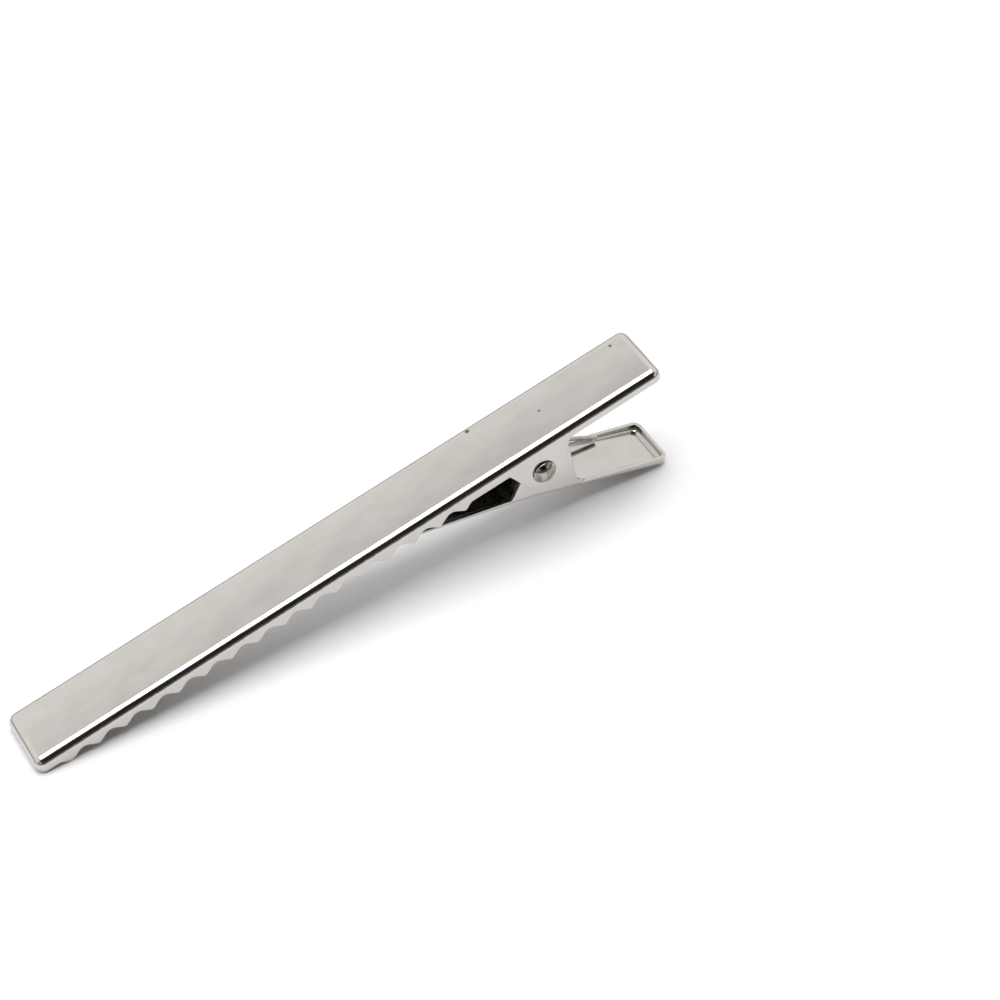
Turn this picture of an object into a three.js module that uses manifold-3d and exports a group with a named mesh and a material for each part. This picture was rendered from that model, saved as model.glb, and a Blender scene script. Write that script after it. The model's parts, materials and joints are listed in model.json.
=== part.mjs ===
// A flat alligator hair clip: two sheet-metal jaws on one rivet, held shut by a torsion spring.
// Units are millimetres and +Z is up. The clip is drawn in its own side view first, with x from the
// tip to the tail, z = 0 on the top plate's upper face and y across, and is laid down at the end.
import * as THREE from 'three';
import { mergeVertices } from 'three/addons/utils/BufferGeometryUtils.js';
import Module from 'manifold-3d';

const wasm = await Module();
wasm.setup();

// The upper jaw: a long shallow tray of folded sheet, open side down.
const CLIP_LENGTH = 77;
const CLIP_WIDTH = 8;
const SHEET = 0.45;
const PLATE_BEND = 1;
const PLATE_CORNER = 1.1;
const TIP_LIP = 1.65;
const TAIL_FLANGE = 1.4;

// The teeth cut in its side flanges. Depths are those of the sharp corners, before rounding.
const TOOTH_COUNT = 16;
const TOOTH_PITCH = 3.2;
const FIRST_TOOTH_X = 3.7;
const TOOTH_TIP_DEPTH = 2.45;
const TOOTH_ROOT_DEPTH = 1.2;
const TOOTH_TIP_RADIUS = 0.3;
const TOOTH_ROOT_RADIUS = 0.9;

// The pivot, and the ears that hang down to it from the upper jaw's flanges.
const PIVOT_X = 61.1;
const PIVOT_DEPTH = 3.9;
const UPPER_EAR_FRONT_X = 57.4;
const UPPER_EAR_REAR_X = 65;
const UPPER_EAR_POINT_DEPTH = 10.1;
const UPPER_EAR_RADIUS = 2.82;

// The lower jaw: a narrower strip that lies in the upper jaw, then bends down to its own tail.
const LOWER_HALF_WIDTH = 3.25;
const LOWER_BEND = 0.7;
const STRIP_START_X = 1.4;
const STRIP_DEPTH = 2;
const FIRST_BEND_X = 43.5;
const FIRST_BEND_RADIUS = 20;
const SECOND_BEND_X = 59.4;
const SECOND_BEND_DEPTH = 8.1;
const SECOND_BEND_RADIUS = 40;
const LOWER_END_X = 74.6;
const LOWER_END_DEPTH = 15.8;
const LOWER_END_RADIUS = 0.9;
const LOWER_RIM = 1.2;

// The lower jaw's ears: up from a foot in front of the pivot, over, and steeply down to the rim.
const EAR_FRONT_FOOT_X = 56.9;
const EAR_FRONT_FOOT_DEPTH = 6.3;
const EAR_TOP_X = 61.3;
const EAR_TOP_DEPTH = 1.13;
const EAR_REAR_X = 64.95;
const EAR_REAR_DEPTH = 2.6;
const EAR_RADIUS = 2;
const EAR_REAR_FOOT_X = 64.3;
const EAR_REAR_FOOT_DEPTH = 9.85;

// The raised bead pressed along the strip.
const BEAD_START_X = 6.5;
const BEAD_END_X = 42.5;
const BEAD_HALF_WIDTH = 1.5;
const BEAD_HEIGHT = 0.33;

// The rivet and the torsion spring wound round it.
const SHANK_RADIUS = 0.65;
const SHANK_CLEARANCE = 0.07;
const HEAD_RADIUS = 1.35;
const HEAD_HEIGHT = 0.85;
const HEAD_EDGE = 0.15;
const HEAD_CLEARANCE = 0.05;
const WIRE_RADIUS = 0.25;
const COIL_RADIUS = 1.05;
const COIL_HALF_LENGTH = 2.45;
const COIL_TURNS = 6;
const UPPER_LEG_LENGTH = 12;
const UPPER_LEG_SLOPE = 9.5;
const LOWER_LEG_LENGTH = 12;
const LOWER_LEG_SLOPE = 39;

// Room that the cutting solids reach past what they cut, and how finely round shapes are stepped.
const REACH = 12;
const ARC_STEP = 0.35;
const BEND_STEPS = 4;

const nickel = new THREE.MeshStandardMaterial({ color: 0xc9c6c1, roughness: 0.26, metalness: 1 });
const steel = new THREE.MeshStandardMaterial({ color: 0xbdbab5, roughness: 0.3, metalness: 1 });
const wire = new THREE.MeshStandardMaterial({ color: 0xa9a6a0, roughness: 0.35, metalness: 1 });

// A closed geometry as a solid for joining and cutting.
function toSolid(geometry) {
  geometry.deleteAttribute('normal');
  geometry.deleteAttribute('uv');
  const merged = mergeVertices(geometry, 1e-4);
  return new wasm.Manifold(new wasm.Mesh({
    numProp: 3,
    vertProperties: Float32Array.from(merged.attributes.position.array),
    triVerts: Uint32Array.from(merged.index.array),
  }));
}

// A solid back as a geometry for a mesh.
function toGeometry(solid) {
  const mesh = solid.getMesh();
  const geometry = new THREE.BufferGeometry();
  geometry.setAttribute('position', new THREE.BufferAttribute(mesh.vertProperties, 3));
  geometry.setIndex(new THREE.BufferAttribute(mesh.triVerts, 1));
  geometry.computeVertexNormals();
  return geometry;
}

// A closed outline from corners [x, y, radius], with an arc at each corner that has a radius.
function roundedShape(corners) {
  const points = corners.flatMap(([x, y, radius = 0], i) => {
    const corner = new THREE.Vector2(x, y);
    if (radius === 0) return [corner];
    const last = corners.at(i - 1);
    const next = corners[(i + 1) % corners.length];
    const back = new THREE.Vector2(last[0], last[1]).sub(corner).normalize();
    const ahead = new THREE.Vector2(next[0], next[1]).sub(corner).normalize();
    const half = Math.acos(back.dot(ahead)) / 2;
    const reach = radius / Math.tan(half);
    const centre = back.clone().add(ahead).setLength(radius / Math.sin(half)).add(corner);
    const start = back.clone().multiplyScalar(reach).add(corner).sub(centre).angle();
    const end = ahead.clone().multiplyScalar(reach).add(corner).sub(centre).angle();
    const arc = new THREE.ArcCurve(centre.x, centre.y, radius, start, end, back.cross(ahead) > 0);
    return arc.getPoints(Math.max(2, Math.ceil(radius * (Math.PI - 2 * half) / ARC_STEP)));
  });
  return new THREE.Shape(points);
}

// A side-view outline (x, z) made into a solid of a width across y, with its long edges rounded.
function acrossSolid(corners, halfWidth, bend = 0) {
  const geometry = new THREE.ExtrudeGeometry(roundedShape(corners), {
    depth: 2 * (halfWidth - bend),
    bevelEnabled: bend > 0,
    bevelThickness: bend,
    bevelSize: bend,
    bevelOffset: -bend,
    bevelSegments: BEND_STEPS,
  });
  geometry.translate(0, 0, bend - halfWidth);
  geometry.rotateX(Math.PI / 2);
  return toSolid(geometry);
}

// The block that the upper jaw's sheet wraps, drawn in from the outside by an inset.
function plateBlock(inset) {
  const bend = PLATE_BEND - inset;
  const corner = PLATE_CORNER - inset;
  const side = CLIP_WIDTH / 2 - inset;
  const outline = [
    [inset, -side, corner],
    [CLIP_LENGTH - inset, -side, corner],
    [CLIP_LENGTH - inset, side, corner],
    [inset, side, corner],
  ];
  const geometry = new THREE.ExtrudeGeometry(roundedShape(outline), {
    depth: REACH,
    bevelThickness: bend,
    bevelSize: bend,
    bevelOffset: -bend,
    bevelSegments: BEND_STEPS,
  });
  geometry.translate(0, 0, -REACH - bend - inset);
  return toSolid(geometry);
}

function pivotHole() {
  const geometry = new THREE.CylinderGeometry(
    SHANK_RADIUS + SHANK_CLEARANCE, SHANK_RADIUS + SHANK_CLEARANCE, 2 * CLIP_WIDTH, 24);
  geometry.translate(PIVOT_X, 0, -PIVOT_DEPTH);
  return toSolid(geometry);
}

// The lower edge of the upper jaw's flanges: tip lip, teeth, ear and tail, seen from the side.
function upperJawOutline() {
  const teeth = [];
  for (let i = 0; i < TOOTH_COUNT; i += 1) {
    const x = FIRST_TOOTH_X + i * TOOTH_PITCH;
    teeth.push([x, -TOOTH_TIP_DEPTH, TOOTH_TIP_RADIUS]);
    if (i < TOOTH_COUNT - 1) teeth.push([x + TOOTH_PITCH / 2, -TOOTH_ROOT_DEPTH, TOOTH_ROOT_RADIUS]);
  }
  const lastToothX = FIRST_TOOTH_X + (TOOTH_COUNT - 1) * TOOTH_PITCH;
  return [
    [-REACH, REACH],
    [-REACH, -TIP_LIP],
    [FIRST_TOOTH_X - 1.2, -TIP_LIP, 0.4],
    ...teeth,
    [lastToothX + 0.9, -TIP_LIP, 0.4],
    [UPPER_EAR_FRONT_X, -TIP_LIP, 0.35],
    [(UPPER_EAR_FRONT_X + UPPER_EAR_REAR_X) / 2, -UPPER_EAR_POINT_DEPTH, UPPER_EAR_RADIUS],
    [UPPER_EAR_REAR_X, -TAIL_FLANGE, 0.6],
    [CLIP_LENGTH, -TAIL_FLANGE, 0.6],
    [CLIP_LENGTH, REACH],
  ];
}

function upperJaw() {
  const sheet = plateBlock(0).subtract(plateBlock(SHEET));
  const trimmed = sheet.intersect(acrossSolid(upperJawOutline(), CLIP_WIDTH));
  return toGeometry(trimmed.subtract(pivotHole()));
}

// The lower jaw's line in side view, raised square to itself by a height above its outer face.
function armLine(height) {
  const corners = [
    new THREE.Vector2(STRIP_START_X, -STRIP_DEPTH),
    new THREE.Vector2(FIRST_BEND_X, -STRIP_DEPTH),
    new THREE.Vector2(SECOND_BEND_X, -SECOND_BEND_DEPTH),
    new THREE.Vector2(LOWER_END_X, -LOWER_END_DEPTH),
  ];
  const normals = corners.slice(1).map((corner, i) => {
    const along = corner.clone().sub(corners[i]).normalize();
    return new THREE.Vector2(-along.y, along.x);
  });
  return corners.map((corner, i) => {
    const before = normals[Math.max(i - 1, 0)];
    const after = normals[Math.min(i, normals.length - 1)];
    const shift = before.clone().add(after).multiplyScalar(height / (1 + before.dot(after)));
    return corner.clone().add(shift);
  });
}

// The direction of the lower jaw's tail, from the second bend to its end.
function tailDirection() {
  const [, , bend, end] = armLine(0);
  return end.clone().sub(bend).normalize();
}

// The block that the lower jaw's sheet wraps. The inner one runs out past the strip's open front.
function armBlock(inset) {
  const [start, first, second, end] = armLine(inset);
  const along = tailDirection();
  const up = new THREE.Vector2(-along.y, along.x);
  end.addScaledVector(along, -inset);
  const top = end.clone().addScaledVector(up, REACH);
  const frontX = inset > 0 ? start.x - REACH : start.x;
  const corners = [
    [frontX, start.y],
    [first.x, first.y, FIRST_BEND_RADIUS + inset],
    [second.x, second.y, SECOND_BEND_RADIUS + inset],
    [end.x, end.y, LOWER_END_RADIUS - inset],
    [top.x, top.y],
    [frontX, top.y + REACH],
  ];
  return acrossSolid(corners, LOWER_HALF_WIDTH - inset, LOWER_BEND - inset);
}

// The upper edge of the lower jaw's flanges: flat strip, growing flange, ear, then the tail's rim.
function lowerJawOutline() {
  const stripTop = armLine(SHEET - 0.02);
  const rim = armLine(LOWER_RIM);
  const along = tailDirection();
  const rimEnd = rim[3].clone().addScaledVector(along, REACH);
  return [
    [-REACH, -2 * REACH],
    [-REACH, stripTop[0].y],
    [stripTop[1].x + 0.5, stripTop[1].y, 15],
    [EAR_FRONT_FOOT_X, -EAR_FRONT_FOOT_DEPTH, 0.6],
    [EAR_TOP_X, -EAR_TOP_DEPTH, EAR_RADIUS],
    [EAR_REAR_X, -EAR_REAR_DEPTH, EAR_RADIUS],
    [EAR_REAR_FOOT_X, -EAR_REAR_FOOT_DEPTH, EAR_RADIUS],
    [rimEnd.x, rimEnd.y],
    [rimEnd.x, -2 * REACH],
  ];
}

// A long bead with round ends, flattened; its lower half is what shows on the strip.
function bead(raise) {
  const half = (BEAD_END_X - BEAD_START_X) / 2;
  const geometry = new THREE.CapsuleGeometry(BEAD_HALF_WIDTH, 2 * (half - BEAD_HALF_WIDTH), 4, 12);
  geometry.rotateZ(Math.PI / 2);
  geometry.scale(1, 1, BEAD_HEIGHT / BEAD_HALF_WIDTH);
  geometry.translate(BEAD_START_X + half, 0, raise - STRIP_DEPTH);
  return toSolid(geometry);
}

function lowerJaw() {
  const outside = armBlock(0).add(bead(0));
  const inside = armBlock(SHEET).add(bead(SHEET));
  const trimmed = outside.subtract(inside).intersect(acrossSolid(lowerJawOutline(), CLIP_WIDTH));
  return toGeometry(trimmed.subtract(pivotHole()));
}

// One turned profile from head to head: a shank with a low domed head outside each upper ear.
function pivotRivet() {
  const headStart = CLIP_WIDTH / 2 + HEAD_CLEARANCE;
  const domeHeight = HEAD_HEIGHT - HEAD_EDGE;
  const domeRadius = (HEAD_RADIUS ** 2 + domeHeight ** 2) / (2 * domeHeight);
  const half = [
    new THREE.Vector2(SHANK_RADIUS, headStart),
    new THREE.Vector2(HEAD_RADIUS, headStart),
  ];
  const edgeAngle = Math.asin(HEAD_RADIUS / domeRadius);
  for (let i = 0; i <= BEND_STEPS; i += 1) {
    const angle = edgeAngle * (1 - i / BEND_STEPS);
    const y = headStart + HEAD_HEIGHT - domeRadius * (1 - Math.cos(angle));
    half.push(new THREE.Vector2(domeRadius * Math.sin(angle), y));
  }
  const mirrored = half.map((point) => new THREE.Vector2(point.x, -point.y)).reverse();
  const geometry = new THREE.LatheGeometry([...mirrored, ...half], 32);
  geometry.translate(PIVOT_X, 0, -PIVOT_DEPTH);
  return toGeometry(toSolid(geometry));
}

// The helix of the spring's body, from the upper leg's angle round to the lower leg's.
class CoilCurve extends THREE.Curve {
  getPoint(t) {
    const first = THREE.MathUtils.degToRad(90 + UPPER_LEG_SLOPE);
    const last = THREE.MathUtils.degToRad(270 - LOWER_LEG_SLOPE + 360 * COIL_TURNS);
    const angle = first + (last - first) * t;
    return new THREE.Vector3(
      PIVOT_X + COIL_RADIUS * Math.cos(angle),
      COIL_HALF_LENGTH * (2 * t - 1),
      COIL_RADIUS * Math.sin(angle) - PIVOT_DEPTH,
    );
  }
}

function torsionSpring() {
  const coil = new CoilCurve();
  const upperSlope = THREE.MathUtils.degToRad(UPPER_LEG_SLOPE);
  const lowerSlope = THREE.MathUtils.degToRad(LOWER_LEG_SLOPE);
  const upperLeg = new THREE.Vector3(Math.cos(upperSlope), 0, Math.sin(upperSlope));
  const lowerLeg = new THREE.Vector3(Math.cos(lowerSlope), 0, -Math.sin(lowerSlope));
  const path = new THREE.CurvePath();
  const top = coil.getPoint(0);
  const bottom = coil.getPoint(1);
  path.add(new THREE.LineCurve3(top.clone().addScaledVector(upperLeg, UPPER_LEG_LENGTH), top));
  path.add(coil);
  path.add(new THREE.LineCurve3(bottom, bottom.clone().addScaledVector(lowerLeg, LOWER_LEG_LENGTH)));
  const section = new THREE.Shape().absarc(0, 0, WIRE_RADIUS, 0, 2 * Math.PI);
  const geometry = new THREE.ExtrudeGeometry(section, {
    steps: 150,
    curveSegments: 4,
    extrudePath: path,
  });
  return toGeometry(toSolid(geometry));
}

function namedMesh(name, geometry, material) {
  const mesh = new THREE.Mesh(geometry, material);
  mesh.name = name;
  return mesh;
}

const clip = new THREE.Group();
clip.add(
  namedMesh('upper_jaw', upperJaw(), nickel),
  namedMesh('lower_jaw', lowerJaw(), nickel),
  namedMesh('pivot_rivet', pivotRivet(), steel),
  namedMesh('torsion_spring', torsionSpring(), wire),
);

// Laid down as it rests: on the first teeth and on the end of the lower tail.
const REST_TILT = Math.atan2(LOWER_END_DEPTH - TOOTH_TIP_DEPTH, LOWER_END_X - FIRST_TOOTH_X);
clip.rotation.y = -REST_TILT;
const part = new THREE.Group();
part.add(clip);
part.updateMatrixWorld(true);
const box = new THREE.Box3().setFromObject(part, true);
clip.position.set(-(box.min.x + box.max.x) / 2, 0, -box.min.z);

export default part;
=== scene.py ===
# A flat alligator hair clip: fine sheet-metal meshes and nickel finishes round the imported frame.
import json
import math

import bpy
import numpy as np
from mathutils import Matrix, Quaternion, Vector


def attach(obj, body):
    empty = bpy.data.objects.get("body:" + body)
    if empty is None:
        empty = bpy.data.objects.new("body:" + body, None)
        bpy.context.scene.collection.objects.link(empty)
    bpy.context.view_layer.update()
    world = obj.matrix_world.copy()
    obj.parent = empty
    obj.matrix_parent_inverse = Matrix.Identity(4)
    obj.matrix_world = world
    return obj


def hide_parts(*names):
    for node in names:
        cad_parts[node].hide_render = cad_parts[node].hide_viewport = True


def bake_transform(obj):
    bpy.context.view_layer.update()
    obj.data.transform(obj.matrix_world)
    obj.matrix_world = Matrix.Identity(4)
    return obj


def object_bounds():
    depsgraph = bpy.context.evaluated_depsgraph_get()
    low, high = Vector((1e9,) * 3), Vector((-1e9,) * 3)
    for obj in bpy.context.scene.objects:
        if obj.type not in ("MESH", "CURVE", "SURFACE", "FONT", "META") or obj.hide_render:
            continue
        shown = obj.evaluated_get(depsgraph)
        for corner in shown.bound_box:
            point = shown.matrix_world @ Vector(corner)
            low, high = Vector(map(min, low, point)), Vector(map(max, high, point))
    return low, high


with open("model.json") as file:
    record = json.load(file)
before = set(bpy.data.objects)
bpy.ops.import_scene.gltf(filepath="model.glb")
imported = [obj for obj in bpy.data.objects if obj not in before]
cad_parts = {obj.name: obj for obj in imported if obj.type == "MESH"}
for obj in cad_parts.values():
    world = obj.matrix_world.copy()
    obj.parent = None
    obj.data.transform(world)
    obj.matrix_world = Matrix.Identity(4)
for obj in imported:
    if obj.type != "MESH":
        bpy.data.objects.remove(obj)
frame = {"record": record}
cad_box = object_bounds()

# The clip's own side view is in millimetres: x from tip to tail, z up, z = 0 on the top plate.
MM = 0.001
SHEET = 0.45
EDGE_OUTER = 0.09
EDGE_INNER = 0.05
SMALLEST_BEND = 0.04

# The upper jaw: a shallow tray, open side down, with teeth and ears on its long flanges.
CLIP_LENGTH = 77
CLIP_HALF_WIDTH = 4
PLATE_BEND = 1
PLATE_CORNER = 1.1
TIP_LIP = 1.65
TAIL_FLANGE = 1.4
PLATE_CROWN = 0.03
TOOTH_COUNT = 16
TOOTH_PITCH = 3.2
FIRST_TOOTH_X = 3.7
TOOTH_TIP_DEPTH = 2.45
TOOTH_ROOT_DEPTH = 1.2
TOOTH_TIP_RADIUS = 0.3
TOOTH_ROOT_RADIUS = 0.9
TOOTH_ROW_RUN_IN = 1.2
TOOTH_ROW_RUN_OUT = 0.9
TOOTH_ROW_RADIUS = 0.4
PIVOT_X = 61.1
PIVOT_DEPTH = 3.9
UPPER_EAR_FRONT_X = 57.4
UPPER_EAR_REAR_X = 65
UPPER_EAR_POINT_DEPTH = 10.1
UPPER_EAR_RADIUS = 2.82
UPPER_EAR_FRONT_RADIUS = 0.35
UPPER_EAR_REAR_RADIUS = 0.6

# The lower jaw: a narrow strip that bends down twice into its own tray-shaped tail.
LOWER_HALF_WIDTH = 3.25
LOWER_BEND = 0.7
LOWER_CORNER = 1
LOWER_END_BEND = 0.9
STRIP_FRONT_BEND = 0.12
STRIP_START_X = 1.4
STRIP_DEPTH = 2
FIRST_BEND_X = 43.5
FIRST_BEND_RADIUS = 20
SECOND_BEND_X = 59.4
SECOND_BEND_DEPTH = 8.1
SECOND_BEND_RADIUS = 40
LOWER_END_X = 74.6
LOWER_END_DEPTH = 15.8
LOWER_RIM = 1.2
FLANGE_START_PAST_BEND = 0.55
FLANGE_START_RADIUS = 15
BEAD_START = 6.5
BEAD_END = 42.5
BEAD_HALF_WIDTH = 1.5
BEAD_HEIGHT = 0.33
BEAD_ROUNDNESS = 1.3

# The lower jaw's ears: up from a foot in front of the pivot, over, and steeply down to the rim.
EAR_FRONT_FOOT_X = 56.9
EAR_FRONT_FOOT_DEPTH = 6.3
EAR_FRONT_FOOT_RADIUS = 0.6
EAR_TOP_X = 61.3
EAR_TOP_DEPTH = 1.13
EAR_REAR_X = 64.95
EAR_REAR_DEPTH = 2.6
EAR_RADIUS = 2
EAR_REAR_FOOT_X = 64.3
EAR_REAR_FOOT_DEPTH = 9.85

# The rivet and the torsion spring on it. The wire's end is rounded in rings: size and distance in.
SHANK_RADIUS = 0.65
HOLE_RADIUS = 0.72
HEAD_RADIUS = 1.35
HEAD_START = 4.05
HEAD_RIM = 0.15
HEAD_HEIGHT = 0.85
SHANK_FILLET = 0.06
HEAD_ROUNDING = 0.04
RIM_ROUNDING = 0.03
WIRE_RADIUS = 0.25
COIL_RADIUS = 1.05
COIL_HALF_LENGTH = 2.45
COIL_TURNS = 6
WIRE_END = [(0.6, 0), (0.9, 0.03), (1, 0.08)]
LEG_LENGTH = 12
UPPER_LEG_SLOPE = 9.5
LOWER_LEG_SLOPE = 39

RANGE_SOCKETS = ("From Min", "From Max", "To Min", "To Max")

# How finely the meshes are stepped. A row of points stays a little clear of a trimmed line's ends.
END_CLEARANCE = 0.02
FINE_TURN = math.radians(0.1)
FINE_STEP = 0.02
ARC_TURN = math.radians(12)
LONGEST_STEP = 0.5
STEEPEST = 2.6
BEND_ROWS = 8
FLANGE_SHARES = (0.05, 0.28, 0.52, 0.76, 0.95, 1)
ROUNDING_SHARES = (0.25, 0.5, 0.75)
LARGEST_BEND_SHARE = 0.6
LARGEST_OUTER_TRIM = 0.5
LARGEST_INNER_TRIM = 0.4
CORNER_STEPS = 8
FLOOR_ROWS = 28
LATHE_STEPS = 96
DOME_STEPS = 15
HOLE_SIDES = 64
WIRE_SIDES = 16
WIRE_STEPS_PER_TURN = 36
LEG_STEPS = 30
DOME_FIRST_SHARE = 0.03

# The metals' colours, as the share of red, green and blue light that they reflect.
NICKEL_LIGHT = (0.595, 0.57, 0.538)
NICKEL_DARK = (0.555, 0.53, 0.498)
NICKEL_WARM = (0.57, 0.535, 0.49)
NICKEL_DULL = (0.4, 0.38, 0.35)
# Painted shade for the jaws' insides, mottled with the grain: not a colour the metal has.
PAINTED_SHADE_LIGHT = (0.13, 0.124, 0.115)
PAINTED_SHADE_DARK = (0.07, 0.066, 0.062)
PIT = (0.14, 0.11, 0.075)
RIVET_LIGHT = (0.46, 0.43, 0.39)
RIVET_DARK = (0.2, 0.18, 0.155)
WIRE_LIGHT = (0.6, 0.57, 0.51)
WIRE_DARK = (0.4, 0.37, 0.32)

# How deep the finishes' relief is, in metres.
SHEET_RELIEF = 0.00001
WIRE_RELIEF = 0.000002

# How deep the painted shade inside the jaws is, from 0 to 1, and where that changes along it.
JAW_PAINTED_SHADE = 0.5
THROAT_PAINTED_SHADE = 0.95
UPPER_TAIL_PAINTED_SHADE = 0.8
LOWER_TAIL_PAINTED_SHADE = 0.1
THROAT_START = (42, 50)
THROAT_END = (57, 64)

# Small flaws in the plating on the top plate: place on the sheet and radius. Each is whole to one
# share of its radius and gone at another.
PLATE_PITS = [((56.6, 3.05, 0), 0.28), ((64, 0.2, 0), 0.16), ((74.5, 2.5, 0), 0.2)]
PIT_WHOLE = 0.4
PIT_GONE = 1.3

# The pale floor, and the light above it.
FLOOR_REACH = 3
FLOOR_COLOUR = (0.86, 0.86, 0.87)
FLOOR_ROUGHNESS = 0.6
FLOOR_SPECULAR = 0.2
LIGHT_PLACE = (0, 0.15, 1.8)
LIGHT_SIZE = (1.5, 1.3)
LIGHT_POWER = 25.5

# The camera of the photograph's view.
VIEW_AZIMUTH = -25.65
VIEW_ELEVATION = 48.3
VIEW_ROLL = -6
CAMERA_LENS = 103.4
CAMERA_SENSOR = 36
CAMERA_DISTANCE = 0.3
CAMERA_CLIP = (0.01, 20)
AIM_RIGHT = 0.01659
AIM_UP = 0.00466


def clip_axes():
    """The clip's own x and z directions in the row frame, from the top plate's mount."""
    plate = Vector(frame["record"]["mounts"][0]["axis"])
    up = np.array(plate.normalized())
    along = np.array([up[2], 0, -up[0]])
    return along, up


def to_row(points):
    """Points in the clip's side view, in millimetres, as points in the row frame, in metres."""
    joint = frame["record"]["behaviour"]["joints"][0]
    along, up = clip_axes()
    x = points[:, 0:1] - PIVOT_X
    z = points[:, 2:3] + PIVOT_DEPTH
    across = points[:, 1:2] * np.array([[0, 1, 0]])
    return np.array(joint["pos_m"]) + MM * (x * along + z * up + across)


def to_row_in_box(points):
    """The same, kept inside the CAD model's box."""
    return np.clip(to_row(points), np.array(cad_box[0]), np.array(cad_box[1]))


def unit(vector):
    return vector / np.linalg.norm(vector)


def corner_arc(before, corner, after, radius, turn_step):
    """The arc that rounds a corner, as points a small turn apart."""
    back = unit(before - corner)
    ahead = unit(after - corner)
    half = math.acos(float(back @ ahead)) / 2
    centre = corner + unit(back + ahead) * radius / math.sin(half)
    first = corner + back * radius / math.tan(half) - centre
    turn = math.pi - 2 * half
    if back[0] * ahead[1] - back[1] * ahead[0] > 0:
        turn = -turn
    steps = max(2, math.ceil(abs(turn) / turn_step))
    angles = np.linspace(0, turn, steps + 1)
    turned_x = first[0] * np.cos(angles) - first[1] * np.sin(angles)
    turned_y = first[0] * np.sin(angles) + first[1] * np.cos(angles)
    return centre + np.stack([turned_x, turned_y], 1)


def rounded_line(corners, turn_step=ARC_TURN):
    """An open line through corners (x, z, radius), with an arc at each corner that has a radius."""
    places = np.array([corner[:2] for corner in corners], float)
    points = [places[:1]]
    for i in range(1, len(corners) - 1):
        radius = corners[i][2]
        arc = corner_arc(places[i - 1], places[i], places[i + 1], radius, turn_step)
        points.append(arc)
    points.append(places[-1:])
    return np.concatenate(points)


def stepped(points, longest):
    """The same line with no step longer than a length."""
    made = [points[:1]]
    for start, end in zip(points[:-1], points[1:]):
        steps = max(1, math.ceil(np.linalg.norm(end - start) / longest))
        shares = np.linspace(0, 1, steps + 1)[1:, None]
        made.append(start + (end - start) * shares)
    return np.concatenate(made)


def within(line, low, high):
    """A line of (x, height) trimmed to low..high in x, its end heights interpolated."""
    heights = np.interp([low, high], line[:, 0], line[:, 1])
    kept = line[(line[:, 0] > low + END_CLEARANCE) & (line[:, 0] < high - END_CLEARANCE)]
    return np.concatenate([[[low, heights[0]]], kept, [[high, heights[1]]]])


def steepness(line):
    """How much longer than level the line is at each point: one over the cosine of its slope."""
    run = np.gradient(line[:, 0])
    rise = np.gradient(line[:, 1])
    return np.clip(np.hypot(run, rise) / np.maximum(run, 1e-6), 1, STEEPEST)


class Stations:
    """Places round a tray's outline: where each is, which way is out, and the edge's height there."""

    def __init__(self, length, half_width, corner, side, front, end):
        """side is a line of (x, edge height); front and end are (edge height, bend); bends are radii."""
        side_line, side_bend = side
        self.rows = []
        steep = steepness(side_line)
        inner_width = half_width - corner
        floor_y = np.linspace(inner_width, -inner_width, FLOOR_ROWS + 1)
        for k, (x, height) in enumerate(side_line):
            self.add((x, half_width), (0, 1), height, steep[k], side_bend, (k, FLOOR_ROWS))
        last = len(side_line) - 1
        self.turn((length - corner, inner_width), 90, corner, side_bend, end, (last, FLOOR_ROWS))
        for j, y in enumerate(floor_y):
            self.add((length, y), (1, 0), end[0], 1, end[1], (last, FLOOR_ROWS - j))
        self.turn((length - corner, -inner_width), 0, corner, end[1], (end[0], side_bend), (last, 0))
        for k in range(last, -1, -1):
            x, height = side_line[k]
            self.add((x, -half_width), (0, -1), height, steep[k], side_bend, (k, 0))
        self.turn((corner, -inner_width), -90, corner, side_bend, front, (0, 0))
        for j, y in enumerate(floor_y[::-1]):
            self.add((0, y), (-1, 0), front[0], 1, front[1], (0, j))
        closing = (front[0], side_bend)
        self.turn((corner, inner_width), 180, corner, front[1], closing, (0, FLOOR_ROWS))

    def add(self, place, outward, height, steep, bend, node):
        self.rows.append((place[0], place[1], outward[0], outward[1], height, steep, bend, *node))

    def turn(self, centre, start, corner, bend_from, to, node):
        """The stations round one plan corner, not counting its two ends."""
        for i in range(1, CORNER_STEPS):
            share = i / CORNER_STEPS
            angle = math.radians(start - 90 * share)
            outward = (math.cos(angle), math.sin(angle))
            place = (centre[0] + corner * outward[0], centre[1] + corner * outward[1])
            self.add(place, outward, to[0], 1, bend_from + (to[1] - bend_from) * share, node)

    def table(self):
        return np.array(self.rows, float)


def outer_path(t, bend, corner):
    """(inset, height) on the outer face at a length t from the floor's rim: flat, bend, flange."""
    flat = corner - bend
    angle = np.clip((t - flat) / bend, 0, math.pi / 2)
    inset = np.where(t < flat, corner - t, bend - bend * np.sin(angle))
    height = bend - bend * np.cos(angle) + np.maximum(t - flat - bend * math.pi / 2, 0)
    return np.stack([inset, height], -1)


def inner_path(t, bend, corner):
    """The same on the inner face, one sheet further in."""
    inner_bend = np.maximum(bend - SHEET, SMALLEST_BEND)
    centre = np.maximum(bend, SHEET + inner_bend)
    flat = corner - centre
    angle = np.clip((t - flat) / inner_bend, 0, math.pi / 2)
    inset = np.where(t < flat, corner - t, centre - inner_bend * np.sin(angle))
    rise = inner_bend - inner_bend * np.cos(angle)
    height = SHEET + rise + np.maximum(t - flat - inner_bend * math.pi / 2, 0)
    return np.stack([inset, height], -1)


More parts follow.
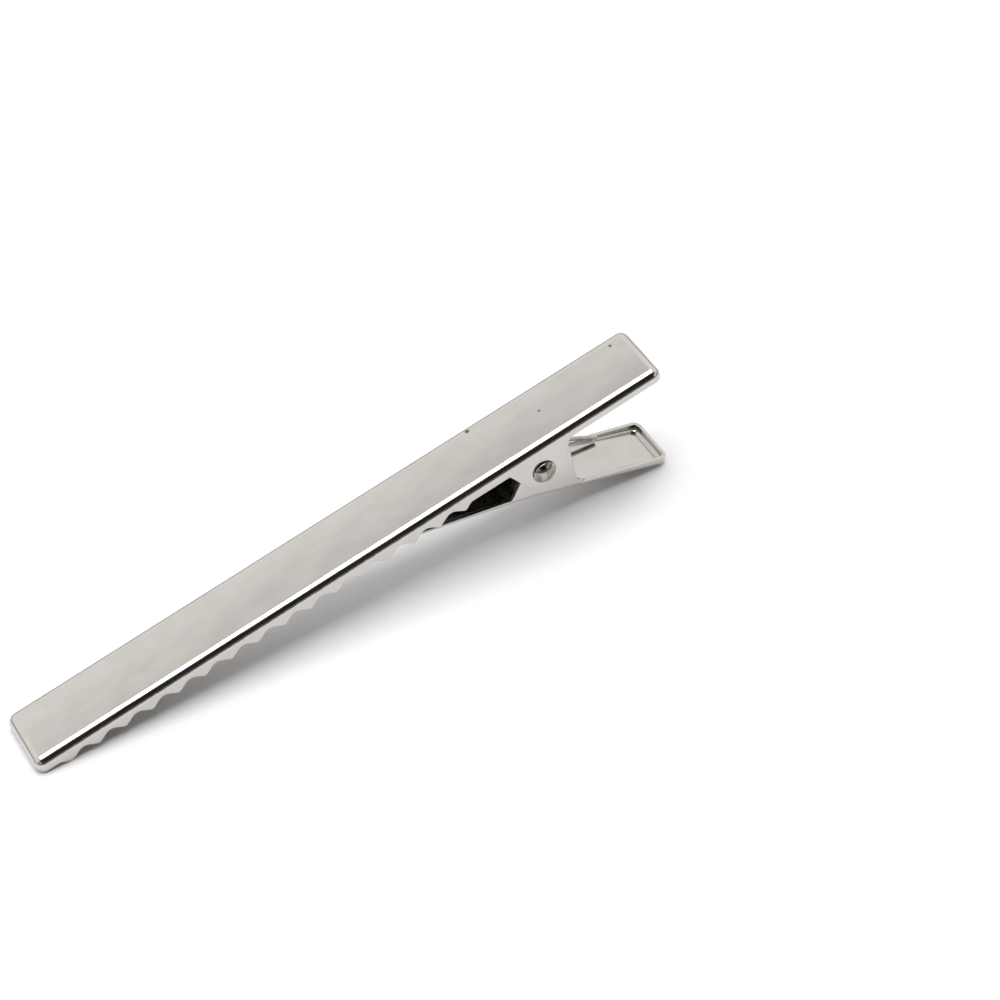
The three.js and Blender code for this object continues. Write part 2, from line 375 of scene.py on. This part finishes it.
def path_rows(path, total, flat, arc, trim, bend, corner):
    """Points along a face from the floor's rim to where its edge rounding starts."""
    reach = total - trim
    arc_end = np.minimum(flat + arc, flat + LARGEST_BEND_SHARE * (reach - flat))
    shares = np.linspace(0, 1, BEND_ROWS + 1)
    rows = [np.zeros_like(total)]
    rows += [flat + (arc_end - flat) * share for share in shares]
    rows += [arc_end + (reach - arc_end) * share for share in FLANGE_SHARES]
    return [path(t, bend, corner) for t in rows]


def rounding(start, corner, end):
    """A small rounded edge from start to end round a corner."""
    made = []
    for share in ROUNDING_SHARES:
        made.append(start * (1 - share) ** 2 + corner * 2 * share * (1 - share) + end * share ** 2)
    return made


def sheet_section(height, steep, bend, corner):
    """The bent sheet's section at each station, from the outer floor rim round to the inner one."""
    outer_flat = corner - bend
    outer_arc = bend * np.arccos(1 - np.clip(height / bend, 0, 1))
    outer_total = outer_flat + outer_arc + np.maximum(height - bend, 0)
    inner_bend = np.maximum(bend - SHEET, SMALLEST_BEND)
    inner_flat = corner - np.maximum(bend, SHEET + inner_bend)
    inner_arc = inner_bend * np.arccos(1 - np.clip((height - SHEET) / inner_bend, 0, 1))
    inner_total = inner_flat + inner_arc + np.maximum(height - SHEET - inner_bend, 0)
    outer_trim = np.minimum(EDGE_OUTER * steep, LARGEST_OUTER_TRIM * (outer_total - outer_flat))
    inner_trim = np.minimum(EDGE_INNER * steep, LARGEST_INNER_TRIM * inner_total)
    outer_rows = path_rows(
        outer_path, outer_total, outer_flat, bend * math.pi / 2, outer_trim, bend, corner)
    inner_rows = path_rows(
        inner_path, inner_total, inner_flat, inner_bend * math.pi / 2, inner_trim, bend, corner)
    outer_corner = outer_path(outer_total, bend, corner)
    inner_corner = inner_path(inner_total, bend, corner)
    across = inner_corner - outer_corner
    across /= np.linalg.norm(across, axis=-1, keepdims=True)
    cut_start = outer_corner + across * EDGE_OUTER
    cut_end = inner_corner - across * EDGE_INNER
    edge = rounding(outer_rows[-1], outer_corner, cut_start)
    edge += [cut_start, (cut_start + cut_end) / 2, cut_end]
    edge += rounding(cut_end, inner_corner, inner_rows[-1])
    return np.stack([*outer_rows, *edge, *inner_rows[::-1]], 1), len(outer_rows), len(edge)


def tray(stations, side_line, half_width, corner):
    """A bent-up sheet tray as (points, faces, edge, inside) in (x, y, height above its outer face)."""
    table = stations.table()
    count = len(table)
    section, outer_count, edge_count = sheet_section(table[:, 4], table[:, 5], table[:, 6], corner)
    rows = section.shape[1]
    walls = np.zeros((count, rows, 3))
    walls[:, :, 0] = table[:, 0:1] - section[:, :, 0] * table[:, 2:3]
    walls[:, :, 1] = table[:, 1:2] - section[:, :, 0] * table[:, 3:4]
    walls[:, :, 2] = section[:, :, 1]
    columns = len(side_line)
    floor_y = np.linspace(corner - half_width, half_width - corner, FLOOR_ROWS + 1)
    grid_x, grid_y = np.meshgrid(side_line[:, 0], floor_y, indexing="ij")
    outer_floor = np.stack([grid_x, grid_y, np.zeros_like(grid_x)], -1).reshape(-1, 3)
    inner_floor = outer_floor + [0, 0, SHEET]
    floor_size = len(outer_floor)
    inside_rows = walls[:, 1:-1].reshape(-1, 3)
    points = np.concatenate([outer_floor, inner_floor, inside_rows])
    node = (table[:, 7] * (FLOOR_ROWS + 1) + table[:, 8]).astype(int)
    index = np.zeros((count, rows), int)
    index[:, 0] = node
    index[:, -1] = node + floor_size
    index[:, 1:-1] = 2 * floor_size + np.arange(count * (rows - 2)).reshape(count, rows - 2)
    faces = []
    for i in range(count):
        here, there = index[i], index[(i + 1) % count]
        for row in range(rows - 1):
            corners = [here[row], there[row], there[row + 1], here[row + 1]]
            faces.append(list(dict.fromkeys(int(c) for c in corners)))
    for k in range(columns - 1):
        for j in range(FLOOR_ROWS):
            a = k * (FLOOR_ROWS + 1) + j
            b = a + FLOOR_ROWS + 1
            faces.append([a, a + 1, b + 1, b])
            faces.append([a + floor_size, b + floor_size, b + 1 + floor_size, a + 1 + floor_size])
    edge = np.zeros(rows)
    edge[outer_count:outer_count + edge_count] = 1
    inside = np.zeros(rows)
    inside[outer_count + edge_count // 2:] = 1
    edge_mask = np.concatenate([np.zeros(2 * floor_size), np.tile(edge[1:-1], count)])
    inside_mask = np.concatenate(
        [np.zeros(floor_size), np.ones(floor_size), np.tile(inside[1:-1], count)])
    return points, faces, edge_mask, inside_mask


def make_mesh(name, points, faces, clip_points):
    """A mesh object in the row frame, which keeps its flat millimetre coordinates."""
    mesh = bpy.data.meshes.new(name)
    mesh.from_pydata(to_row_in_box(clip_points).tolist(), [], faces)
    mesh.update()
    kept = mesh.attributes.new("sheet_mm", "FLOAT_VECTOR", "POINT")
    kept.data.foreach_set("vector", points.astype(np.float32).ravel())
    piece = bpy.data.objects.new(name, mesh)
    bpy.context.scene.collection.objects.link(piece)
    return piece


def mark(piece, name, values):
    attribute = piece.data.attributes.new(name, "FLOAT", "POINT")
    attribute.data.foreach_set("value", np.asarray(values, np.float32))


def face_outwards(piece):
    """Turns every face out if the closed mesh has been made inside out."""
    mesh = piece.data
    mesh.calc_loop_triangles()
    places = np.array([v.co for v in mesh.vertices], float)
    corners = places[np.array([t.vertices for t in mesh.loop_triangles])]
    volume = np.einsum("ij,ij->i", corners[:, 0], np.cross(corners[:, 1], corners[:, 2])).sum()
    if volume < 0:
        mesh.flip_normals()


def ring_faces(rings, sides):
    """The side faces between rings of points that are listed one ring after another."""
    faces = []
    for row in range(rings - 1):
        for i in range(sides):
            j = (i + 1) % sides
            a, b = row * sides, (row + 1) * sides
            faces.append([a + i, a + j, b + j, b + i])
    return faces


def capped_faces(rings, sides):
    """The faces of a closed round body: its rings, and a fan to each of two poles listed last."""
    faces = ring_faces(rings, sides)
    first_pole = rings * sides
    last_ring = first_pole - sides
    for i in range(sides):
        j = (i + 1) % sides
        faces.append([first_pole, j, i])
        faces.append([first_pole + 1, last_ring + i, last_ring + j])
    return faces


def shade(piece, angle=35):
    piece.data.shade_smooth()
    piece.data.set_sharp_from_angle(angle=math.radians(angle))


def drill(piece):
    """The rivet's hole through both of a jaw's ears."""
    turns = np.arange(HOLE_SIDES) * 2 * math.pi / HOLE_SIDES
    rings = []
    for y in (-2 * CLIP_HALF_WIDTH, 2 * CLIP_HALF_WIDTH):
        x = HOLE_RADIUS * np.cos(turns) + PIVOT_X
        z = HOLE_RADIUS * np.sin(turns) - PIVOT_DEPTH
        rings.append(np.stack([x, np.full(HOLE_SIDES, y), z], 1))
    faces = [list(range(HOLE_SIDES)), list(range(2 * HOLE_SIDES - 1, HOLE_SIDES - 1, -1))]
    faces += ring_faces(2, HOLE_SIDES)
    mesh = bpy.data.meshes.new("drill")
    mesh.from_pydata(to_row(np.concatenate(rings)).tolist(), [], faces)
    cutter = bpy.data.objects.new("drill", mesh)
    bpy.context.scene.collection.objects.link(cutter)
    face_outwards(cutter)
    cut = piece.modifiers.new("hole", "BOOLEAN")
    cut.operation = "DIFFERENCE"
    cut.solver = "EXACT"
    cut.object = cutter
    evaluated = piece.evaluated_get(bpy.context.evaluated_depsgraph_get())
    drilled = bpy.data.meshes.new_from_object(evaluated)
    piece.modifiers.clear()
    piece.data = drilled
    bpy.data.objects.remove(cutter)


def upper_edge_line():
    """(x, depth) along the lower edge of the upper jaw's flanges, from tip to tail."""
    corners = [(0, TIP_LIP), (FIRST_TOOTH_X - TOOTH_ROW_RUN_IN, TIP_LIP, TOOTH_ROW_RADIUS)]
    for i in range(TOOTH_COUNT):
        x = FIRST_TOOTH_X + i * TOOTH_PITCH
        corners.append((x, TOOTH_TIP_DEPTH, TOOTH_TIP_RADIUS))
        if i < TOOTH_COUNT - 1:
            corners.append((x + TOOTH_PITCH / 2, TOOTH_ROOT_DEPTH, TOOTH_ROOT_RADIUS))
    last_tooth_x = FIRST_TOOTH_X + (TOOTH_COUNT - 1) * TOOTH_PITCH
    ear_x = (UPPER_EAR_FRONT_X + UPPER_EAR_REAR_X) / 2
    corners += [
        (last_tooth_x + TOOTH_ROW_RUN_OUT, TIP_LIP, TOOTH_ROW_RADIUS),
        (UPPER_EAR_FRONT_X, TIP_LIP, UPPER_EAR_FRONT_RADIUS),
        (ear_x, UPPER_EAR_POINT_DEPTH, UPPER_EAR_RADIUS),
        (UPPER_EAR_REAR_X, TAIL_FLANGE, UPPER_EAR_REAR_RADIUS),
        (CLIP_LENGTH, TAIL_FLANGE),
    ]
    line = stepped(rounded_line(corners), LONGEST_STEP)
    return within(line, PLATE_CORNER, CLIP_LENGTH - PLATE_CORNER)


def crown(points):
    """How far the plate's slight crown drops each point, fading out down the flanges."""
    share = np.clip(np.abs(points[:, 1]) / (CLIP_HALF_WIDTH - PLATE_CORNER), 0, 1)
    fade = np.clip(SHEET + PLATE_BEND - points[:, 2], 0, 1)
    return PLATE_CROWN * share ** 2 * fade


def upper_jaw_sheet():
    side = upper_edge_line()
    stations = Stations(
        CLIP_LENGTH, CLIP_HALF_WIDTH, PLATE_CORNER,
        (side, PLATE_BEND), (TIP_LIP, PLATE_BEND), (TAIL_FLANGE, PLATE_BEND))
    points, faces, edge, inside = tray(stations, side, CLIP_HALF_WIDTH, PLATE_CORNER)
    clip_points = np.stack([points[:, 0], points[:, 1], -points[:, 2] - crown(points)], 1)
    piece = make_mesh("upper_jaw_sheet", points, faces, clip_points)
    mark(piece, "cut_edge", edge)
    mark(piece, "inside", inside)
    face_outwards(piece)
    drill(piece)
    shade(piece)
    return piece


class ArmLine:
    """The line of the lower jaw's outer face, by length along it."""

    def __init__(self):
        corners = [
            (STRIP_START_X, -STRIP_DEPTH),
            (FIRST_BEND_X, -STRIP_DEPTH, FIRST_BEND_RADIUS),
            (SECOND_BEND_X, -SECOND_BEND_DEPTH, SECOND_BEND_RADIUS),
            (LOWER_END_X, -LOWER_END_DEPTH),
        ]
        fine = stepped(rounded_line(corners, FINE_TURN), FINE_STEP)
        steps = np.linalg.norm(np.diff(fine, axis=0), axis=1)
        self.places = fine
        self.lengths = np.concatenate([[0], np.cumsum(steps)])
        self.length = self.lengths[-1]
        along = np.gradient(fine, self.lengths, axis=0)
        self.along = along / np.linalg.norm(along, axis=1, keepdims=True)

    def at(self, length, height):
        """(x, z) at a length along the line and a height square to it."""
        place = [np.interp(length, self.lengths, self.places[:, k]) for k in (0, 1)]
        along = [np.interp(length, self.lengths, self.along[:, k]) for k in (0, 1)]
        return place[0] - along[1] * height, place[1] + along[0] * height

    def unroll(self, points):
        """(x, z) points as (length along the line, height above it)."""
        made = []
        for point in points:
            offsets = point - self.places
            nearest = int(np.argmin((offsets ** 2).sum(1)))
            along = self.along[nearest]
            offset = offsets[nearest]
            height = -along[1] * offset[0] + along[0] * offset[1]
            made.append([self.lengths[nearest] + float(along @ offset), height])
        return np.array(made)


def lower_edge_line(arm):
    """(length, height) along the upper edge of the lower jaw's flanges."""
    strip_top = SHEET - STRIP_DEPTH
    rim_end = arm.at(arm.length, LOWER_RIM)
    corners = [
        (STRIP_START_X, strip_top),
        (FIRST_BEND_X + FLANGE_START_PAST_BEND, strip_top, FLANGE_START_RADIUS),
        (EAR_FRONT_FOOT_X, -EAR_FRONT_FOOT_DEPTH, EAR_FRONT_FOOT_RADIUS),
        (EAR_TOP_X, -EAR_TOP_DEPTH, EAR_RADIUS),
        (EAR_REAR_X, -EAR_REAR_DEPTH, EAR_RADIUS),
        (EAR_REAR_FOOT_X, -EAR_REAR_FOOT_DEPTH, EAR_RADIUS),
        rim_end,
    ]
    line = arm.unroll(stepped(rounded_line(corners), LONGEST_STEP))
    line[:, 1] = np.maximum(line[:, 1], SHEET)
    return within(line, LOWER_CORNER, arm.length - LOWER_CORNER)


def bead_height(x, y):
    """The pressed bead's height: a low rounded ridge with round ends."""
    middle = (BEAD_START + BEAD_END) / 2
    straight = (BEAD_END - BEAD_START) / 2 - BEAD_HALF_WIDTH
    past_end = np.maximum(np.abs(x + STRIP_START_X - middle) - straight, 0)
    share = np.clip(np.hypot(past_end, y) / BEAD_HALF_WIDTH, 0, 1)
    return BEAD_HEIGHT * (1 - share ** 2) ** BEAD_ROUNDNESS


def lower_jaw_sheet():
    arm = ArmLine()
    side = lower_edge_line(arm)
    stations = Stations(
        arm.length, LOWER_HALF_WIDTH, LOWER_CORNER,
        (side, LOWER_BEND), (SHEET, STRIP_FRONT_BEND), (LOWER_RIM, LOWER_END_BEND))
    points, faces, edge, inside = tray(stations, side, LOWER_HALF_WIDTH, LOWER_CORNER)
    raised = points[:, 2] - bead_height(points[:, 0], points[:, 1])
    x, z = arm.at(points[:, 0], raised)
    clip_points = np.stack([x, points[:, 1], z], 1)
    piece = make_mesh("lower_jaw_sheet", points, faces, clip_points)
    mark(piece, "cut_edge", edge)
    mark(piece, "inside", inside)
    face_outwards(piece)
    drill(piece)
    shade(piece)
    return piece


def rivet_profile():
    """(radius, y) from the middle of one head to the middle of the other."""
    dome = HEAD_HEIGHT - HEAD_RIM
    dome_radius = (HEAD_RADIUS ** 2 + dome ** 2) / (2 * dome)
    widest = math.asin(HEAD_RADIUS / dome_radius)
    half = [
        (SHANK_RADIUS, 0),
        (SHANK_RADIUS, HEAD_START - SHANK_FILLET),
        (SHANK_RADIUS + SHANK_FILLET, HEAD_START),
        (HEAD_RADIUS - HEAD_ROUNDING, HEAD_START),
        (HEAD_RADIUS, HEAD_START + HEAD_ROUNDING),
        (HEAD_RADIUS, HEAD_START + HEAD_RIM - RIM_ROUNDING),
    ]
    for share in np.linspace(DOME_FIRST_SHARE, 1, DOME_STEPS):
        angle = widest * (1 - share)
        y = HEAD_START + HEAD_HEIGHT - dome_radius * (1 - math.cos(angle))
        half.append((dome_radius * math.sin(angle), y))
    mirrored = [(radius, -y) for radius, y in half[:0:-1]]
    return np.array(mirrored + half)


def rivet():
    profile = rivet_profile()
    turns = np.arange(LATHE_STEPS) * 2 * math.pi / LATHE_STEPS
    rings = []
    for radius, y in profile[1:-1]:
        x = PIVOT_X + radius * np.cos(turns)
        z = radius * np.sin(turns) - PIVOT_DEPTH
        rings.append(np.stack([x, np.full(LATHE_STEPS, y), z], 1))
    poles = [[PIVOT_X, profile[end][1], -PIVOT_DEPTH] for end in (0, -1)]
    points = np.concatenate([*rings, poles])
    piece = make_mesh("rivet_pin", points, capped_faces(len(rings), LATHE_STEPS), points)
    face_outwards(piece)
    shade(piece)
    return piece


def spring_line():
    """The wire's middle line: upper leg, coil round the rivet, lower leg."""
    first = math.radians(90 + UPPER_LEG_SLOPE)
    last = math.radians(270 - LOWER_LEG_SLOPE + 360 * COIL_TURNS)
    steps = round((last - first) / (2 * math.pi) * WIRE_STEPS_PER_TURN)
    angles = np.linspace(first, last, steps + 1)
    coil = np.stack([
        PIVOT_X + COIL_RADIUS * np.cos(angles),
        np.linspace(-COIL_HALF_LENGTH, COIL_HALF_LENGTH, steps + 1),
        COIL_RADIUS * np.sin(angles) - PIVOT_DEPTH], 1)
    upper, lower = math.radians(UPPER_LEG_SLOPE), math.radians(LOWER_LEG_SLOPE)
    lengths = np.linspace(0, LEG_LENGTH, LEG_STEPS + 1)[1:, None]
    upper_leg = coil[0] + np.array([math.cos(upper), 0, math.sin(upper)]) * lengths
    lower_leg = coil[-1] + np.array([math.cos(lower), 0, -math.sin(lower)]) * lengths
    return np.concatenate([upper_leg[::-1], coil, lower_leg])


def swept_wire(line, radius):
    """A round wire along a line, with slightly rounded ends, as points and faces."""
    tangents = np.gradient(line, axis=0)
    tangents /= np.linalg.norm(tangents, axis=1, keepdims=True)
    side = unit(np.cross(tangents[0], [0, 1, 0]))
    turns = np.arange(WIRE_SIDES) * 2 * math.pi / WIRE_SIDES
    rings = []
    for i, (place, tangent) in enumerate(zip(line, tangents)):
        side = unit(side - tangent * (side @ tangent))
        other = np.cross(tangent, side)
        circle = radius * (np.cos(turns)[:, None] * side + np.sin(turns)[:, None] * other)
        if i == 0:
            rings += [place + tangent * shift + circle * size for size, shift in WIRE_END]
        elif i == len(line) - 1:
            rings += [place - tangent * shift + circle * size for size, shift in WIRE_END[::-1]]
        else:
            rings.append(place + circle)
    points = np.concatenate([*rings, line[:1], line[-1:]])
    return points, capped_faces(len(rings), WIRE_SIDES)


def spring_wire():
    points, faces = swept_wire(spring_line(), WIRE_RADIUS)
    piece = make_mesh("spring_coil", points, faces, points)
    face_outwards(piece)
    shade(piece)
    return piece


class Nodes:
    """Short ways to add nodes to a tree: a keyword names one of the node's sockets or settings."""

    def __init__(self, tree):
        self.tree = tree

    def node(self, kind, **settings):
        made = self.tree.nodes.new(kind)
        for key, value in settings.items():
            if key in made.inputs:
                made.inputs[key].default_value = value
            else:
                setattr(made, key, value)
        return made

    def join(self, output, target):
        self.tree.links.new(output, target)

    def feed(self, value, socket):
        """Sets a socket to a plain number, or joins another node's output to it."""
        if isinstance(value, (int, float)):
            socket.default_value = value
        else:
            self.join(value, socket)

    def axes(self, vector):
        split = self.node("ShaderNodeSeparateXYZ")
        self.join(vector, split.inputs[0])
        return split.outputs

    def spread(self, value, low, high, to_low, to_high, smooth=False):
        """low..high in a value as to_low..to_high, and no further at either end."""
        made = self.node("ShaderNodeMapRange")
        if smooth:
            made.interpolation_type = "SMOOTHSTEP"
        for key, number in zip(RANGE_SOCKETS, (low, high, to_low, to_high)):
            made.inputs[key].default_value = number
        self.join(value, made.inputs["Value"])
        return made.outputs["Result"]

    def math(self, operation, first, second):
        made = self.node("ShaderNodeMath", operation=operation)
        self.feed(first, made.inputs[0])
        self.feed(second, made.inputs[1])
        return made.outputs["Value"]


class Finish(Nodes):
    """A metallic finish whose nodes work in the sheet's own millimetres."""

    def __init__(self, name):
        self.material = bpy.data.materials.new(name)
        self.material.use_nodes = True
        super().__init__(self.material.node_tree)
        self.shader = self.tree.nodes["Principled BSDF"]
        self.shader.inputs["Metallic"].default_value = 1
        self.sheet = self.attribute("sheet_mm", "Vector")

    def attribute(self, name, output="Fac"):
        return self.node("ShaderNodeAttribute", attribute_name=name).outputs[output]

    def stretched(self, scale):
        """The sheet's coordinates scaled by axis, for grain that runs along the clip."""
        mapping = self.node("ShaderNodeMapping", Scale=scale)
        self.join(self.sheet, mapping.inputs["Vector"])
        return mapping.outputs["Vector"]

    def noise(self, vector, scale, detail=3, roughness=0.55):
        made = self.node("ShaderNodeTexNoise", Scale=scale, Detail=detail, Roughness=roughness)
        self.join(vector, made.inputs["Vector"])
        return made.outputs["Fac"]

    def mix(self, share, first, second):
        made = self.node("ShaderNodeMix", data_type="RGBA")
        self.join(share, made.inputs["Factor"])
        for slot, value in ((6, first), (7, second)):
            if isinstance(value, tuple):
                made.inputs[slot].default_value = (*value, 1)
            else:
                self.join(value, made.inputs[slot])
        return made.outputs[2]

    def bumped(self, height, depth):
        """A bump whose full height is a depth in metres."""
        made = self.node("ShaderNodeBump", Strength=1, Distance=depth)
        self.join(height, made.inputs["Height"])
        return made.outputs["Normal"]


def near_point(finish, place, radius):
    """1 close to a place on the sheet, fading to 0 a little past a radius from it."""
    away = finish.node("ShaderNodeVectorMath", operation="DISTANCE")
    away.inputs[1].default_value = place
    finish.join(finish.sheet, away.inputs[0])
    whole, gone = PIT_WHOLE * radius, PIT_GONE * radius
    return finish.spread(away.outputs["Value"], whole, gone, 1, 0, smooth=True)


def painted_shade_along(finish, tail_painted_shade):
    """How deep the painted shade on the sheet's inside is, by the place along the clip."""
    along = finish.axes(finish.sheet)["X"]
    front = finish.spread(along, *THROAT_START, JAW_PAINTED_SHADE / THROAT_PAINTED_SHADE, 1, smooth=True)
    rear = finish.spread(along, *THROAT_END, THROAT_PAINTED_SHADE, tail_painted_shade, smooth=True)
    return finish.math("MULTIPLY", front, rear)


def nickel_sheet(name, tail_painted_shade, pits=()):
    """Bright nickel plate over stamped steel: faint mottling and grain, duller on cut edges.

    Inside the jaws the colour is darkened to a painted shade, deepest round the pivot; the second
    argument is how deep that painted shade is inside the tail.
    """
    finish = Finish(name)
    mottle = finish.noise(finish.stretched((0.35, 0.5, 0.5)), 0.9, 4)
    cloud = finish.noise(finish.sheet, 0.16, 2)
    grain = finish.noise(finish.stretched((0.35, 7, 7)), 1.6, 5, 0.7)
    pores = finish.noise(finish.sheet, 9, 2, 0.5)
    base = finish.mix(finish.spread(mottle, 0.3, 0.7, 0, 1), NICKEL_DARK, NICKEL_LIGHT)
    base = finish.mix(finish.spread(cloud, 0.45, 0.75, 0, 0.35, smooth=True), base, NICKEL_WARM)
    speckle = finish.spread(pores, 0.69, 0.76, 0, 0.45)
    base = finish.mix(speckle, base, NICKEL_DULL)
    inside = finish.attribute("inside")
    # Painted shade: the inside faces are mixed towards near black, by place along the clip.
    painted_shade_colour = finish.mix(finish.spread(grain, 0.35, 0.65, 0, 1), PAINTED_SHADE_DARK, PAINTED_SHADE_LIGHT)
    painted_shade_share = painted_shade_along(finish, tail_painted_shade)
    base = finish.mix(finish.math("MULTIPLY", inside, painted_shade_share), base, painted_shade_colour)
    for place, radius in pits:
        base = finish.mix(near_point(finish, place, radius), base, PIT)
    finish.join(base, finish.shader.inputs["Base Color"])
    rough = finish.spread(grain, 0.3, 0.7, 0.09, 0.15)
    rough = finish.math("ADD", rough, finish.spread(cloud, 0.4, 0.7, 0, 0.04))
    rough = finish.math("ADD", rough, finish.math("MULTIPLY", inside, 0.03))
    rough = finish.math("ADD", rough, finish.math("MULTIPLY", finish.attribute("cut_edge"), 0.1))
    finish.join(rough, finish.shader.inputs["Roughness"])
    wave = finish.noise(finish.stretched((0.5, 1, 1)), 0.22, 2, 0.4)
    relief = finish.math("MULTIPLY", grain, 0.06)
    relief = finish.math("ADD", relief, finish.math("MULTIPLY", pores, 0.03))
    relief = finish.math("ADD", finish.math("MULTIPLY", wave, 6), relief)
    finish.join(finish.bumped(relief, SHEET_RELIEF), finish.shader.inputs["Normal"])
    return finish.material


def bright_nickel(name):
    """The rivet's heads: tarnished patches on bright nickel, with a few handling scratches."""
    finish = Finish(name)
    mottle = finish.noise(finish.sheet, 1.6, 4)
    base = finish.mix(finish.spread(mottle, 0.35, 0.65, 0, 1), RIVET_DARK, RIVET_LIGHT)
    finish.join(base, finish.shader.inputs["Base Color"])
    scratches = finish.noise(finish.stretched((1, 1, 9)), 3, 4, 0.7)
    finish.join(finish.spread(scratches, 0.3, 0.75, 0.08, 0.22), finish.shader.inputs["Roughness"])
    finish.join(finish.bumped(mottle, SHEET_RELIEF), finish.shader.inputs["Normal"])
    return finish.material


def drawn_wire(name):
    """Plated spring wire, a little darker and browner than the jaws."""
    finish = Finish(name)
    mottle = finish.noise(finish.sheet, 0.9, 4)
    base = finish.mix(finish.spread(mottle, 0.3, 0.7, 0, 1), WIRE_DARK, WIRE_LIGHT)
    finish.join(base, finish.shader.inputs["Base Color"])
    finish.join(finish.spread(mottle, 0.3, 0.7, 0.16, 0.26), finish.shader.inputs["Roughness"])
    relief = finish.noise(finish.sheet, 5, 2)
    finish.join(finish.bumped(relief, WIRE_RELIEF), finish.shader.inputs["Normal"])
    return finish.material


def dress(piece, material, node, body=None):
    piece.data.materials.clear()
    piece.data.materials.append(material)
    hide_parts(node)
    if body:
        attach(piece, body)


def build_clip():
    upper = upper_jaw_sheet()
    upper_finish = nickel_sheet("nickel_upper", UPPER_TAIL_PAINTED_SHADE, PLATE_PITS)
    dress(upper, upper_finish, "upper_jaw", "upper_jaw")
    lower = lower_jaw_sheet()
    lower_finish = nickel_sheet("nickel_lower", LOWER_TAIL_PAINTED_SHADE)
    dress(lower, lower_finish, "lower_jaw", "lower_jaw")
    pin = rivet()
    dress(pin, bright_nickel("nickel_rivet"), "pivot_rivet", "upper_jaw")
    spring = spring_wire()
    dress(spring, drawn_wire("wire_plated"), "torsion_spring")
    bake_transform(spring)


def floor():
    mesh = bpy.data.meshes.new("floor")
    reach = FLOOR_REACH
    corners = [(-reach, -reach, 0), (reach, -reach, 0), (reach, reach, 0), (-reach, reach, 0)]
    mesh.from_pydata(corners, [], [(0, 1, 2, 3)])
    sheet = bpy.data.objects.new("floor", mesh)
    bpy.context.scene.collection.objects.link(sheet)
    material = bpy.data.materials.new("pale_floor")
    material.use_nodes = True
    shader = material.node_tree.nodes["Principled BSDF"]
    shader.inputs["Base Color"].default_value = (*FLOOR_COLOUR, 1)
    shader.inputs["Roughness"].default_value = FLOOR_ROUGHNESS
    shader.inputs["Specular IOR Level"].default_value = FLOOR_SPECULAR
    mesh.materials.append(material)


def overhead_light():
    """A large soft light above the clip, aimed at it."""
    data = bpy.data.lights.new("overhead", "AREA")
    data.shape = "RECTANGLE"
    data.size, data.size_y = LIGHT_SIZE
    data.energy = LIGHT_POWER
    lamp = bpy.data.objects.new("overhead", data)
    lamp.location = LIGHT_PLACE
    lamp.rotation_mode = "QUATERNION"
    lamp.rotation_quaternion = (-Vector(LIGHT_PLACE)).to_track_quat("-Z", "Y")
    lamp.visible_camera = False
    bpy.context.scene.collection.objects.link(lamp)


def background(studio, strength):
    made = studio.node("ShaderNodeBackground", Color=(1, 1, 1, 1))
    studio.feed(strength, made.inputs["Strength"])
    return made.outputs[0]


def backdrop(studio, height):
    """The pale backdrop's brightness by height, dimmer at the table's edge and at the ceiling."""
    ceiling = studio.spread(height, 0.73, 0.86, 1.12, 0.72, smooth=True)
    table_edge = studio.spread(height, 0.1, 0.34, 0.3, 1, smooth=True)
    return studio.math("MULTIPLY", ceiling, table_edge)


def lit_share(studio, axes):
    """How much of the backdrop is lit: all behind and above, the sides low down, hardly the front."""
    behind = studio.spread(axes["Y"], -0.45, -0.15, 0, 1, smooth=True)
    above = studio.spread(axes["Z"], 0.9, 0.97, 0.02, 1, smooth=True)
    room = studio.spread(axes["Z"], 0.08, 0.42, 0.4, 0, smooth=True)
    low = studio.spread(axes["Z"], 0.52, 0.68, 1, 0, smooth=True)
    right_side = studio.spread(axes["X"], 0.25, 0.48, 0, 0.8, smooth=True)
    left_side = studio.spread(axes["X"], -0.55, -0.35, 0.45, 0, smooth=True)
    sides = studio.math("MULTIPLY", studio.math("MAXIMUM", right_side, left_side), low)
    lit = behind
    for part in (above, room, sides):
        lit = studio.math("MAXIMUM", lit, part)
    return lit


def studio_world():
    """The studio's light by direction, and plain white behind the object."""
    world = bpy.data.worlds.new("studio")
    world.use_nodes = True
    world.node_tree.nodes.clear()
    studio = Nodes(world.node_tree)
    axes = studio.axes(studio.node("ShaderNodeTexCoord").outputs["Generated"])
    light = studio.math("MULTIPLY", backdrop(studio, axes["Z"]), lit_share(studio, axes))
    shown = studio.node("ShaderNodeMixShader")
    studio.join(studio.node("ShaderNodeLightPath").outputs["Is Camera Ray"], shown.inputs["Fac"])
    studio.join(background(studio, light), shown.inputs[1])
    studio.join(background(studio, 1), shown.inputs[2])
    studio.join(shown.outputs[0], studio.node("ShaderNodeOutputWorld").inputs["Surface"])
    bpy.context.scene.world = world


def camera():
    """The photograph's view of the clip, which stands left of the picture's middle."""
    data = bpy.data.cameras.new("camera")
    data.lens = CAMERA_LENS
    data.sensor_width = CAMERA_SENSOR
    data.clip_start, data.clip_end = CAMERA_CLIP
    seat = bpy.data.objects.new("camera", data)
    azimuth, elevation = math.radians(VIEW_AZIMUTH), math.radians(VIEW_ELEVATION)
    level = math.cos(elevation)
    back = Vector((math.sin(azimuth) * level, -math.cos(azimuth) * level, math.sin(elevation)))
    seat.rotation_mode = "QUATERNION"
    roll = Quaternion((0, 0, 1), math.radians(VIEW_ROLL))
    seat.rotation_quaternion = (-back).to_track_quat("-Z", "Y") @ roll
    right = seat.rotation_quaternion @ Vector((1, 0, 0))
    up = seat.rotation_quaternion @ Vector((0, 1, 0))
    middle = (cad_box[0] + cad_box[1]) / 2
    seat.location = middle + right * AIM_RIGHT + up * AIM_UP + back * CAMERA_DISTANCE
    bpy.context.scene.collection.objects.link(seat)
    bpy.context.scene.camera = seat


build_clip()
floor()
studio_world()
overhead_light()
camera()
bpy.context.scene.view_settings.view_transform = "Standard"
